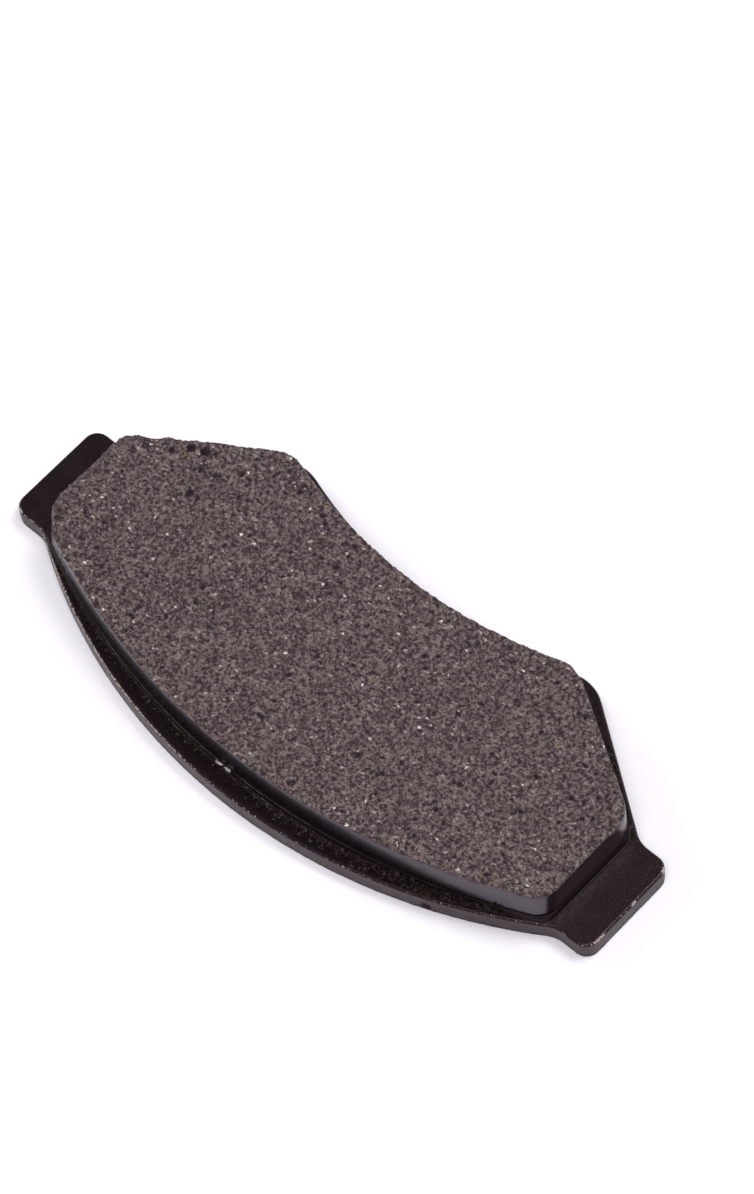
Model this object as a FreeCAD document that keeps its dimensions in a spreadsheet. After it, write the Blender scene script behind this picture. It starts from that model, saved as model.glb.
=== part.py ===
import FreeCAD, Part

# Disc brake pad: a stamped steel backing plate with two abutment lugs, a bond film, a moulded underlayer
# keyed into the plate, and the friction block.
#
# Frame: X runs from lug to lug, Y from the convex outer edge (-Y) to the concave hub edge (+Y), and Z from
# the back of the plate (z = 0, where the piston presses) to the friction face (where the disc rubs).  The
# origin is the middle of the plate's back.  Millimetres and degrees.

import math
import os

import Sketcher

# (alias, value, what it is).  Every size below comes from these.
SIZES = [
    ("plate_length", 176.8, "lug end to lug end"),
    ("plate_thickness", 5.5, "steel plate"),
    ("plate_outer_reach", 37.2, "origin to the middle of the outer edge"),
    ("plate_outer_radius", 145.8, "convex outer edge"),
    ("plate_inner_reach", 30.1, "origin to the middle of the hub edge"),
    ("plate_inner_radius", 122.6, "concave hub edge"),
    ("plate_shoulder_angle", 35.2, "sloping shoulder, measured from X"),
    ("plate_shoulder_reach", 57.15, "origin to the shoulder, square to it"),
    ("plate_shoulder_round", 10.5, "corner between shoulder and hub edge"),
    ("plate_rim_round", 0.5, "rolled rim on the friction side"),
    ("plate_rim_chamfer", 0.3, "broken rim on the piston side"),
    ("lug_width", 28.0, "abutment lug, along Y"),
    ("lug_corner_round", 3.5, "outer corners of a lug"),
    ("lug_shoulder_fillet", 7.0, "root of a lug on the hub side"),
    ("lug_outer_fillet", 6.0, "root of a lug on the outer side"),
    ("dimple_offset", 52.4, "punched dimple in the outer edge, along X"),
    ("dimple_radius", 1.5, "punched dimple, round when seen square to the edge"),
    ("dimple_height", 1.9, "middle of the dimple, up from the back"),
    ("dimple_depth", 0.6, "punched dimple, in from the edge"),
    ("key_radius", 6.0, "hole in the plate and the key that fills it"),
    ("key_inner_offset", 22.0, "inner pair of keys, along X"),
    ("key_inner_drop", 3.0, "inner pair of keys, towards the outer edge"),
    ("key_outer_offset", 56.0, "outer pair of keys, along X"),
    ("key_outer_rise", 3.0, "outer pair of keys, towards the hub"),
    ("key_recess", 0.3, "end of a key, short of the plate's back"),
    ("film_thickness", 0.15, "bond film"),
    ("underlayer_thickness", 1.85, "underlayer, above the film"),
    ("underlayer_step", 0.4, "underlayer, proud of the block all round"),
    ("block_thickness", 9.0, "friction block, above the underlayer"),
    ("block_length", 154.4, "friction block, end to end"),
    ("block_outer_reach", 32.3, "origin to the middle of the outer wall"),
    ("block_outer_radius", 175.5, "convex outer wall"),
    ("block_inner_reach", 27.1, "origin to the middle of the hub wall"),
    ("block_inner_radius", 125.6, "concave hub wall"),
    ("block_shoulder_angle", 31.7, "sloping shoulder, measured from X"),
    ("block_shoulder_reach", 52.25, "origin to the shoulder, square to it"),
    ("block_outer_corner", 4.0, "corner between end and outer wall"),
    ("block_end_corner", 6.0, "corner between end and shoulder"),
    ("block_hub_corner", 8.0, "corner between shoulder and hub wall"),
    ("block_rim_round", 0.4, "worn rim of the friction face"),
]
SHEET = "Sizes"
START, END, CENTRE = 1, 2, 3  # the named points of a sketch's line or arc
ORIGIN = (-1, 1)  # a sketch's own origin point
Y_AXIS = -2  # a sketch's own vertical axis
DIMPLE_CLEARANCE = 0.5  # mm, how far the dimple's cut starts outside the edge
NEAR = 0.05  # mm, for finding an edge where one is known to be
UPWARD = FreeCAD.Vector(0, 0, 1)

document = FreeCAD.newDocument("brake_pad")


def make_sheet():
    """The driving dimensions, one row each, under the aliases that the expressions use."""
    sheet = document.addObject("Spreadsheet::Sheet", SHEET)
    for row, (alias, value, note) in enumerate(SIZES, start=1):
        sheet.set(f"A{row}", note)
        sheet.set(f"B{row}", str(value))
        sheet.setAlias(f"B{row}", alias)
    document.recompute()
    return sheet


sizes = make_sheet()


def size(alias):
    """The value of one driving dimension."""
    return float(sizes.get(alias))


def cell(alias):
    """The same dimension as an expression."""
    return f"{SHEET}.{alias}"


def new_body(label):
    body = document.addObject("PartDesign::Body", label)
    body.Label = label
    return body


def origin_plane(body, role):
    return next(feature for feature in body.Origin.OriginFeatures if feature.Role == role)


def new_sketch(body, name, height=None):
    """A sketch on the body's own XY plane, lifted to the height that an expression gives."""
    sketch = body.newObject("Sketcher::SketchObject", name)
    sketch.AttachmentSupport = [(origin_plane(body, "XY_Plane"), "")]
    sketch.MapMode = "FlatFace"
    if height:
        sketch.setExpression("AttachmentOffset.Base.z", height)
    return sketch


def bind(sketch, expression, *constraint):
    """Adds a dimensional constraint and ties it to an expression."""
    index = sketch.addConstraint(Sketcher.Constraint(*constraint))
    sketch.setExpression(f"Constraints[{index}]", expression)


# ---- where the lines and arcs of an outline meet ----


def arc_y(reach, radius, x):
    """The height at x of an arc that crosses the Y axis at reach, its centre a radius above."""
    return reach + radius - math.sqrt(radius**2 - x**2)


def arc_x(reach, radius, y):
    """The offset at which the same arc reaches the height y."""
    return math.sqrt(radius**2 - (reach + radius - y) ** 2)


def shoulder_y(reach, slope, x):
    """The height at x of a shoulder, which falls at slope degrees and passes reach from the origin."""
    angle = math.radians(slope)
    return (reach - math.sin(angle) * x) / math.cos(angle)


def shoulder_x(reach, slope, y):
    """The offset at which the same shoulder reaches the height y."""
    angle = math.radians(slope)
    return (reach - math.cos(angle) * y) / math.sin(angle)


def hub_corner(shoulder, inner):
    """Where a shoulder meets the hub arc, found by halving the span between them."""
    low, high = 0.0, inner[1]
    while high - low > 1e-9:
        x = (low + high) / 2
        if arc_y(*inner, x) < shoulder_y(*shoulder, x):
            low = x
        else:
            high = x
    return (low, arc_y(*inner, low))


# ---- outlines ----


def add_arc(sketch, reach, radius, tip):
    """An arc from the Y axis at reach round to tip, its centre above it on the axis."""
    centre = FreeCAD.Vector(0, reach + radius, 0)
    last = math.atan2(tip[1] - centre.y, tip[0])
    return sketch.addGeometry(Part.ArcOfCircle(Part.Circle(centre, UPWARD, radius), -math.pi / 2, last))


def add_line(sketch, start, end):
    return sketch.addGeometry(Part.LineSegment(FreeCAD.Vector(*start, 0), FreeCAD.Vector(*end, 0)))


def add_quarter(sketch, start, end):
    """A quarter turn, anticlockwise round the corner of a lug, from one side's end to the next's start."""
    falling = start[0] > end[0]
    centre = (end[0], start[1]) if falling else (start[0], end[1])
    circle = Part.Circle(FreeCAD.Vector(*centre, 0), UPWARD, abs(end[0] - start[0]))
    first = 0 if falling else -math.pi / 2
    return sketch.addGeometry(Part.ArcOfCircle(circle, first, first + math.pi / 2))


def half_outline(sketch, points, outer, inner, quarters=()):
    """The half of an outline with x >= 0: outer arc, sides through the points, hub arc, and the closing line
    down the Y axis.  outer and inner are (reach, radius), and quarters numbers the sides that are quarter
    turns instead of straight."""
    outer_arc = add_arc(sketch, *outer, points[0])
    sides = []
    for number, ends in enumerate(zip(points, points[1:])):
        add_side = add_quarter if number in quarters else add_line
        sides.append(add_side(sketch, *ends))
    inner_arc = add_arc(sketch, *inner, points[-1])
    closing = add_line(sketch, (0, inner[0]), (0, outer[0]))
    turns = {sides[number] for number in quarters}
    for here, after in zip([outer_arc, *sides], sides):
        meeting = "Tangent" if turns & {here, after} else "Coincident"
        sketch.addConstraint(Sketcher.Constraint(meeting, here, END, after, START))
    sketch.addConstraint(Sketcher.Constraint("Coincident", sides[-1], END, inner_arc, END))
    sketch.addConstraint(Sketcher.Constraint("Coincident", inner_arc, START, closing, START))
    sketch.addConstraint(Sketcher.Constraint("Coincident", closing, END, outer_arc, START))
    for arc in (outer_arc, inner_arc):
        for point in (START, CENTRE):
            sketch.addConstraint(Sketcher.Constraint("PointOnObject", arc, point, Y_AXIS))
    return outer_arc, sides, inner_arc


def bind_arcs(sketch, outer_arc, inner_arc, name, more="", less=""):
    """Ties an outline's two arcs to the cells of the plate or the block."""
    outer, inner = f"{name}_outer", f"{name}_inner"
    outer_end, inner_end = (outer_arc, START), (inner_arc, START)
    bind(sketch, cell(f"{outer}_reach") + more, "DistanceY", *outer_end, *ORIGIN, size(f"{outer}_reach"))
    bind(sketch, cell(f"{inner}_reach") + more, "DistanceY", *ORIGIN, *inner_end, size(f"{inner}_reach"))
    bind(sketch, cell(f"{outer}_radius") + more, "Radius", outer_arc, size(f"{outer}_radius"))
    bind(sketch, cell(f"{inner}_radius") + less, "Radius", inner_arc, size(f"{inner}_radius"))


def bind_shoulder(sketch, side, name, more=""):
    """Ties a shoulder's slope, and its distance from the origin, to the cells."""
    slope, reach = f"{name}_shoulder_angle", f"{name}_shoulder_reach"
    bind(sketch, f"180 deg - {cell(slope)} * 1 deg", "Angle", side, math.radians(180 - size(slope)))
    bind(sketch, cell(reach) + more, "Distance", *ORIGIN, side, size(reach))


def plate_outline(body):
    """Half of the plate: outer edge, lug with its two round corners, shoulder and hub edge.  Also returns
    the three corners that are still sharp."""
    sketch = new_sketch(body, "plate_outline")
    outer = (-size("plate_outer_reach"), size("plate_outer_radius"))
    inner = (size("plate_inner_reach"), size("plate_inner_radius"))
    shoulder = (size("plate_shoulder_reach"), size("plate_shoulder_angle"))
    end = size("plate_length") / 2
    half_width = size("lug_width") / 2
    turn = size("lug_corner_round")
    outer_root = (arc_x(*outer, -half_width), -half_width)
    inner_root = (shoulder_x(*shoulder, half_width), half_width)
    points = [
        outer_root,
        (end - turn, -half_width),
        (end, turn - half_width),
        (end, half_width - turn),
        (end - turn, half_width),
        inner_root,
        hub_corner(shoulder, inner),
    ]
    outer_arc, sides, inner_arc = half_outline(sketch, points, outer, inner, quarters=(1, 3))
    lug_outer, first_turn, lug_end, second_turn, lug_inner, slope = sides
    sketch.addConstraint(Sketcher.Constraint("Horizontal", lug_outer))
    sketch.addConstraint(Sketcher.Constraint("Vertical", lug_end))
    sketch.addConstraint(Sketcher.Constraint("Horizontal", lug_inner))
    bind_arcs(sketch, outer_arc, inner_arc, "plate")
    bind_shoulder(sketch, slope, "plate")
    for arc in (first_turn, second_turn):
        bind(sketch, cell("lug_corner_round"), "Radius", arc, turn)
    bind(sketch, cell("plate_length") + " / 2", "DistanceX", *ORIGIN, lug_end, START, end)
    bind(sketch, cell("lug_width") + " / 2", "DistanceY", lug_outer, END, *ORIGIN, half_width)
    bind(sketch, cell("lug_width") + " / 2", "DistanceY", *ORIGIN, lug_inner, START, half_width)
    return sketch, [outer_root, inner_root, points[-1]]


def block_outline(body, height, step=None):
    """Half of the block: outer wall, end, shoulder and hub wall, all moved outward by a step's cell.  Also
    returns its three corners."""
    sketch = new_sketch(body, f"{body.Name}_outline", height)
    extra = size(step) if step else 0.0
    more = f" + {cell(step)}" if step else ""
    less = f" - {cell(step)}" if step else ""
    outer = (-size("block_outer_reach") - extra, size("block_outer_radius") + extra)
    inner = (size("block_inner_reach") + extra, size("block_inner_radius") - extra)
    shoulder = (size("block_shoulder_reach") + extra, size("block_shoulder_angle"))
    end = size("block_length") / 2 + extra
    corners = [
        (end, arc_y(*outer, end)),
        (end, shoulder_y(*shoulder, end)),
        hub_corner(shoulder, inner),
    ]
    outer_arc, (end_side, slope), inner_arc = half_outline(sketch, corners, outer, inner)
    sketch.addConstraint(Sketcher.Constraint("Vertical", end_side))
    bind_arcs(sketch, outer_arc, inner_arc, "block", more, less)
    bind_shoulder(sketch, slope, "block", more)
    bind(sketch, f"{cell('block_length')} / 2{more}", "DistanceX", *ORIGIN, end_side, START, end)
    return sketch, corners


# ---- features ----


def pad_and_mirror(body, sketch, thickness):
    """Pads a half outline upward and mirrors it to the other half."""
    pad = body.newObject("PartDesign::Pad", f"{body.Name}_half")
    pad.Profile = sketch
    pad.setExpression("Length", thickness)
    document.recompute()
    mirror = body.newObject("PartDesign::Mirrored", f"{body.Name}_whole")
    mirror.Originals = [pad]
    mirror.MirrorPlane = (origin_plane(body, "YZ_Plane"), [""])
    body.Tip = mirror
    document.recompute()
    return mirror


def upright_edges(shape, corner):
    """The names of the vertical edges at a corner and at its mirror image."""
    names = []
    for number, edge in enumerate(shape.Edges, start=1):
        first, last = edge.Vertexes[0].Point, edge.Vertexes[-1].Point
        upright = math.hypot(first.x - last.x, first.y - last.y) < NEAR
        if upright and math.hypot(abs(first.x) - corner[0], first.y - corner[1]) < NEAR:
            names.append(f"Edge{number}")
    return names


def level_edges(shape, height):
    """The names of the edges that lie flat at a height."""
    names = []
    for number, edge in enumerate(shape.Edges, start=1):
        box = edge.BoundBox
        if abs(box.ZMin - height) < NEAR and abs(box.ZMax - height) < NEAR:
            names.append(f"Edge{number}")
    return names


def round_corners(body, base, corners, radii):
    """Fillets the vertical edges at each corner, by the cell that radii names for it."""
    for corner, radius in zip(corners, radii):
        fillet = body.newObject("PartDesign::Fillet", f"{body.Name}_{radius}")
        fillet.Base = (base, upright_edges(base.Shape, corner))
        fillet.setExpression("Radius", cell(radius))
        document.recompute()
        base = fillet
    return base


def round_rim(body, base, height, radius):
    """Fillets the whole rim at a height."""
    fillet = body.newObject("PartDesign::Fillet", radius)
    fillet.Base = (base, level_edges(base.Shape, height))
    fillet.setExpression("Radius", cell(radius))
    document.recompute()
    return fillet


def break_rim(body, base, height, width):
    """Chamfers the whole rim at a height."""
    chamfer = body.newObject("PartDesign::Chamfer", width)
    chamfer.Base = (base, level_edges(base.Shape, height))
    chamfer.setExpression("Size", cell(width))
    document.recompute()
    return chamfer


def key_circles(body, height=None):
    """A sketch of the four keys: an inner pair and an outer pair."""
    sketch = new_sketch(body, f"{body.Name}_keys", height)
    inner, outer = ("key_inner_offset", "key_inner_drop"), ("key_outer_offset", "key_outer_rise")
    for (offset, lift), way in ((inner, -1), (outer, 1)):
        for side in (-1, 1):
            centre = FreeCAD.Vector(side * size(offset), way * size(lift), 0)
            circle = sketch.addGeometry(Part.Circle(centre, UPWARD, size("key_radius")))
            here = (circle, CENTRE)
            across = (*ORIGIN, *here) if side > 0 else (*here, *ORIGIN)
            along = (*ORIGIN, *here) if way > 0 else (*here, *ORIGIN)
            bind(sketch, cell("key_radius"), "Radius", circle, size("key_radius"))
            bind(sketch, cell(offset), "DistanceX", *across, size(offset))
            bind(sketch, cell(lift), "DistanceY", *along, size(lift))
    return sketch


def cut_upward(body, base, sketch):
    """Cuts a sketch upward, right through, and checks that it took material away."""
    pocket = body.newObject("PartDesign::Pocket", f"{sketch.Name}_cut")
    pocket.Profile = sketch
    pocket.Reversed = True
    pocket.Type = "ThroughAll"
    document.recompute()
    if pocket.Shape.Volume >= base.Shape.Volume:
        raise RuntimeError(f"{pocket.Name} cut nothing")
    return pocket


# ---- sub-parts ----

FILM_BASE = cell("plate_thickness")
LAYER_BASE = f"{FILM_BASE} + {cell('film_thickness')}"
BLOCK_BASE = f"{LAYER_BASE} + {cell('underlayer_thickness')}"
PLATE_CORNERS = ("lug_outer_fillet", "lug_shoulder_fillet", "plate_shoulder_round")
BLOCK_CORNERS = ("block_outer_corner", "block_end_corner", "block_hub_corner")


def punch_dimple(body, base):
    """Cuts a round blind dimple into the outer edge.  Its sketch lies level, with its origin at the centre of
    the outer arc and its vertical axis through the dimple, and half of the cut's section is turned round
    that axis."""
    radius, reach = cell("plate_outer_radius"), cell("plate_outer_reach")
    sketch = new_sketch(body, "dimple", cell("dimple_height"))
    sketch.setExpression("AttachmentOffset.Base.y", f"{radius} - {reach}")
    sketch.setExpression("AttachmentOffset.Rotation.Angle", f"asin({cell('dimple_offset')} / {radius})")
    half_width = size("dimple_radius")
    outside = -size("plate_outer_radius") - DIMPLE_CLEARANCE
    inside = size("dimple_depth") - size("plate_outer_radius")
    corners = [(0, outside), (half_width, outside), (half_width, inside), (0, inside)]
    sides = [add_line(sketch, *ends) for ends in zip(corners, corners[1:] + corners[:1])]
    for here, after in zip(sides, sides[1:] + sides[:1]):
        sketch.addConstraint(Sketcher.Constraint("Coincident", here, END, after, START))
    for side, direction in zip(sides[:3], ("Horizontal", "Vertical", "Horizontal")):
        sketch.addConstraint(Sketcher.Constraint(direction, side))
    start, bottom = (sides[0], START), (sides[3], START)
    sketch.addConstraint(Sketcher.Constraint("PointOnObject", *start, Y_AXIS))
    sketch.addConstraint(Sketcher.Constraint("PointOnObject", *bottom, Y_AXIS))
    bind(sketch, cell("dimple_radius"), "DistanceX", *start, sides[0], END, half_width)
    bind(sketch, f"{radius} + {DIMPLE_CLEARANCE}", "DistanceY", *start, *ORIGIN, -outside)
    bind(sketch, f"{radius} - {cell('dimple_depth')}", "DistanceY", *bottom, *ORIGIN, -inside)
    groove = body.newObject("PartDesign::Groove", "dimple_cut")
    groove.Profile = sketch
    groove.ReferenceAxis = (sketch, ["V_Axis"])
    document.recompute()
    if groove.Shape.Volume >= base.Shape.Volume:
        raise RuntimeError("the dimple cut nothing")
    return groove


def make_backing_plate():
    """The stamped steel plate: two lugs, four key holes, rolled and broken rims, and a dimple."""
    body = new_body("backing_plate")
    sketch, corners = plate_outline(body)
    plate = pad_and_mirror(body, sketch, cell("plate_thickness"))
    plate = round_corners(body, plate, corners, PLATE_CORNERS)
    plate = round_rim(body, plate, size("plate_thickness"), "plate_rim_round")
    plate = break_rim(body, plate, 0.0, "plate_rim_chamfer")
    plate = cut_upward(body, plate, key_circles(body))
    punch_dimple(body, plate)
    return body


def make_bond_film():
    """The thin adhesive coat under the underlayer, open where the keys pass."""
    body = new_body("bond_film")
    sketch, corners = block_outline(body, FILM_BASE, "underlayer_step")
    film = pad_and_mirror(body, sketch, cell("film_thickness"))
    film = round_corners(body, film, corners, BLOCK_CORNERS)
    cut_upward(body, film, key_circles(body, FILM_BASE))
    return body


def make_underlayer():
    """The moulded underlayer, with the four keys that fill the plate's holes."""
    body = new_body("underlayer")
    sketch, corners = block_outline(body, LAYER_BASE, "underlayer_step")
    layer = pad_and_mirror(body, sketch, cell("underlayer_thickness"))
    layer = round_corners(body, layer, corners, BLOCK_CORNERS)
    keys = body.newObject("PartDesign::Pad", "underlayer_key_pads")
    keys.Profile = key_circles(body, cell("key_recess"))
    keys.setExpression("Length", f"{LAYER_BASE} - {cell('key_recess')}")
    document.recompute()
    if keys.Shape.Volume <= layer.Shape.Volume:
        raise RuntimeError("the keys added nothing")
    return body


def make_friction_block():
    """The friction block, with the rim of its face worn slightly round."""
    body = new_body("friction_block")
    sketch, corners = block_outline(body, BLOCK_BASE)
    block = pad_and_mirror(body, sketch, cell("block_thickness"))
    block = round_corners(body, block, corners, BLOCK_CORNERS)
    layers = ("plate_thickness", "film_thickness", "underlayer_thickness", "block_thickness")
    round_rim(body, block, sum(size(layer) for layer in layers), "block_rim_round")
    return body


def check(bodies):
    """Stops if an object failed, or if a sub-part isn't one valid solid."""
    for item in document.Objects:
        if "Invalid" in item.State or "Error" in item.State:
            raise RuntimeError(f"{item.Name} failed: {item.State}")
    for body in bodies:
        shape = body.Shape
        if shape.isNull() or not shape.isValid() or len(shape.Solids) != 1:
            raise RuntimeError(f"{body.Label} isn't one valid solid")


def write(bodies):
    os.makedirs("parts", exist_ok=True)
    for body in bodies:
        body.Shape.exportStep(os.path.join("parts", f"{body.Label}.step"))
        box = body.Shape.optimalBoundingBox()
        print(f"{body.Label}: x {box.XMin:.3f} to {box.XMax:.3f}, y {box.YMin:.3f} to {box.YMax:.3f},",
              f"z {box.ZMin:.3f} to {box.ZMax:.3f}, {body.Shape.Volume:.1f} mm3")


sub_parts = [make_backing_plate(), make_bond_film(), make_underlayer(), make_friction_block()]
document.recompute()
check(sub_parts)
write(sub_parts)
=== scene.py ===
import math

import bmesh
import bpy
import numpy as np
from mathutils import Matrix, Vector, kdtree, noise
from mathutils.geometry import delaunay_2d_cdt


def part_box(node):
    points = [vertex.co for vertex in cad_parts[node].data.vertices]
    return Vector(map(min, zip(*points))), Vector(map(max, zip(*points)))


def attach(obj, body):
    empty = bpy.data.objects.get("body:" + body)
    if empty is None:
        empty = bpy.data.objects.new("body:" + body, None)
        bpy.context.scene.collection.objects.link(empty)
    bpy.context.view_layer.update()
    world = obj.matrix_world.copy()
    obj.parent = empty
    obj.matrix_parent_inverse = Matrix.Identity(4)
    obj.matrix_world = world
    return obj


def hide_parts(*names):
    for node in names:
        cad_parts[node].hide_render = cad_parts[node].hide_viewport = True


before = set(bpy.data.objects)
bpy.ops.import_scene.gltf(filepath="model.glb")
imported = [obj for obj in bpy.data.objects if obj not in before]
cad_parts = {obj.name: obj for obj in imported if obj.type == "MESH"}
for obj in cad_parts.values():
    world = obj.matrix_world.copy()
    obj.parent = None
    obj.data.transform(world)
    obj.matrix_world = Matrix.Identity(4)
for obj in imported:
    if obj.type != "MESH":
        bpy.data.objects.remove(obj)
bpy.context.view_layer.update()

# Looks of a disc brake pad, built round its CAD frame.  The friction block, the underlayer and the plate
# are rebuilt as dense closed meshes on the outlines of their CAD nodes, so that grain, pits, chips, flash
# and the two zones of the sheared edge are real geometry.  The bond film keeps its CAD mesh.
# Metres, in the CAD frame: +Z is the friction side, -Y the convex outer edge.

MM = 0.001
SEED = 11
random = np.random.default_rng(SEED)


# ---- outlines, taken from the CAD nodes ----


def section(node, height):
    """The closed outlines that a level plane cuts from a CAD node, longest first, each an N x 2 array."""
    cad = bmesh.new()
    cad.from_mesh(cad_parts[node].data)
    bmesh.ops.remove_doubles(cad, verts=cad.verts, dist=1e-6)
    everything = [*cad.verts, *cad.edges, *cad.faces]
    cut = bmesh.ops.bisect_plane(cad, geom=everything, plane_co=(0, 0, height), plane_no=(0, 0, 1))
    neighbours = {}
    for item in cut["geom_cut"]:
        if isinstance(item, bmesh.types.BMEdge):
            for here, there in (item.verts, reversed(item.verts)):
                neighbours.setdefault(here, []).append(there)
    loops = []
    while neighbours:
        vert = next(iter(neighbours))
        loop = []
        while vert in neighbours:
            loop.append(vert.co.xy)
            onward = neighbours.pop(vert)
            vert = next((other for other in onward if other in neighbours), None)
        loops.append(np.array(loop))
    cad.free()
    return sorted(loops, key=around, reverse=True)


def around(loop):
    """The length of a closed loop."""
    return np.hypot(*(np.roll(loop, -1, axis=0) - loop).T).sum()


def smooth(value):
    """Eases 0 to 1, and holds it there outside."""
    value = np.clip(value, 0, 1)
    return value * value * (3 - 2 * value)


def bumps(places, feature, seed=0, octaves=1):
    """Smooth noise from about -1 to 1 at each place, with features of one size, and finer ones in octaves."""
    shift = Vector((seed * 7.3, seed * 3.1, seed * 11.9))
    if places.shape[1] == 2:
        places = np.column_stack([places, np.zeros(len(places))])
    return np.array([noise.fractal(Vector(place) / feature + shift, 0.8, 2.0, octaves) for place in places])


def at_height(places, height):
    """Flat places as points in space, all at one height."""
    return np.column_stack([places, np.full(len(places), height)])


class Outline:
    """A closed outline in even steps, anticlockwise, with the outward direction at each of its points."""

    def __init__(self, loop, step):
        if np.cross(loop, np.roll(loop, -1, axis=0)).sum() < 0:
            loop = loop[::-1]
        closed = np.vstack([loop, loop[:1]])
        along = np.concatenate([[0], np.cumsum(np.hypot(*np.diff(closed, axis=0).T))])
        even = np.linspace(0, along[-1], round(along[-1] / step), endpoint=False)
        self.points = np.column_stack([np.interp(even, along, closed[:, axis]) for axis in (0, 1)])
        ahead = np.roll(self.points, -2, axis=0) - np.roll(self.points, 2, axis=0)
        outward = np.column_stack([ahead[:, 1], -ahead[:, 0]])
        self.outward = outward / np.hypot(*outward.T)[:, None]
        self.tree = kdtree.KDTree(len(self.points))
        for index, point in enumerate(self.points):
            self.tree.insert((*point, 0), index)
        self.tree.balance()

    def inset(self, depth):
        """The outline's points, moved inward by one depth or by a depth for each."""
        return self.points - self.outward * np.reshape(depth, (-1, 1))

    def depth(self, places):
        """How far each place lies inside the outline.  It is negative outside."""
        nearest = [self.tree.find((*place, 0))[1] for place in places]
        return ((self.points[nearest] - places) * self.outward[nearest]).sum(axis=1)


# ---- closed meshes ----


class Shell:
    """A closed mesh under construction, with named values at its points."""

    def __init__(self, *values):
        self.points = []
        self.faces = []
        self.values = {name: [] for name in values}

    def add(self, flat, height, **values):
        """Adds points, from an N x 2 array and a height or N heights.  Returns their numbers."""
        first = len(self.points)
        heights = np.broadcast_to(height, len(flat))
        self.points += np.column_stack([flat, heights]).tolist()
        for name, held in self.values.items():
            held += np.broadcast_to(values.get(name, 0.0), len(flat)).tolist()
        return np.arange(first, len(self.points))

    def wall(self, rings, inside_out=False):
        """Joins rings of the same length, listed from low to high, into a wall."""
        for low, high in zip(rings, rings[1:]):
            corners = [low, np.roll(low, -1), np.roll(high, -1), high]
            if inside_out:
                corners.reverse()
            self.faces += np.column_stack(corners).tolist()

    def cap(self, rims, inner=(), holes=(), downward=False):
        """Fills the area inside the rims with triangles through the inner points.  holes are the outlines
        left open."""
        numbers = np.concatenate([*rims, np.array(inner, int)])
        flat = [Vector(self.points[number][:2]) for number in numbers]
        edges = []
        first = 0
        for rim in rims:
            ring = np.arange(first, first + len(rim))
            edges += np.column_stack([ring, np.roll(ring, -1)]).tolist()
            first += len(rim)
        placed, _, faces, sources, _, _ = delaunay_2d_cdt(flat, edges, [], 1, 1e-9)
        corners = numbers[[source[0] for source in sources]][np.array(faces)]
        centres = np.array(placed)[np.array(faces)].mean(axis=1)
        for hole in holes:
            outside = hole.depth(centres) < 0
            corners, centres = corners[outside], centres[outside]
        if downward:
            corners = corners[:, ::-1]
        self.faces += corners.tolist()

    def build(self, name, material):
        """The finished object, riding on the pad's only body."""
        mesh = bpy.data.meshes.new(name)
        mesh.from_pydata(self.points, [], self.faces)
        for value, held in self.values.items():
            mesh.attributes.new(value, "FLOAT", "POINT").data.foreach_set("value", held)
        mesh.shade_smooth()
        mesh.materials.append(material)
        piece = bpy.data.objects.new(name, mesh)
        bpy.context.scene.collection.objects.link(piece)
        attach(piece, "root")
        return piece


def scatter(outline, pitch, margin):
    """Points over the inside of an outline, about a pitch apart and at least a margin from it."""
    low, high = outline.points.min(axis=0), outline.points.max(axis=0)
    across, along = (np.arange(low[axis], high[axis], pitch) for axis in (0, 1))
    places = np.stack(np.meshgrid(across, along), axis=-1)
    places[1::2, :, 0] += pitch / 2
    places = places.reshape(-1, 2)
    places += random.uniform(-0.25, 0.25, places.shape) * pitch
    return places[outline.depth(places) > margin]


# ---- materials ----

LEAN_X, LEAN_Y = 0.9, 0.7  # how far a leaning texture moves along X and Y for each step down


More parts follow.
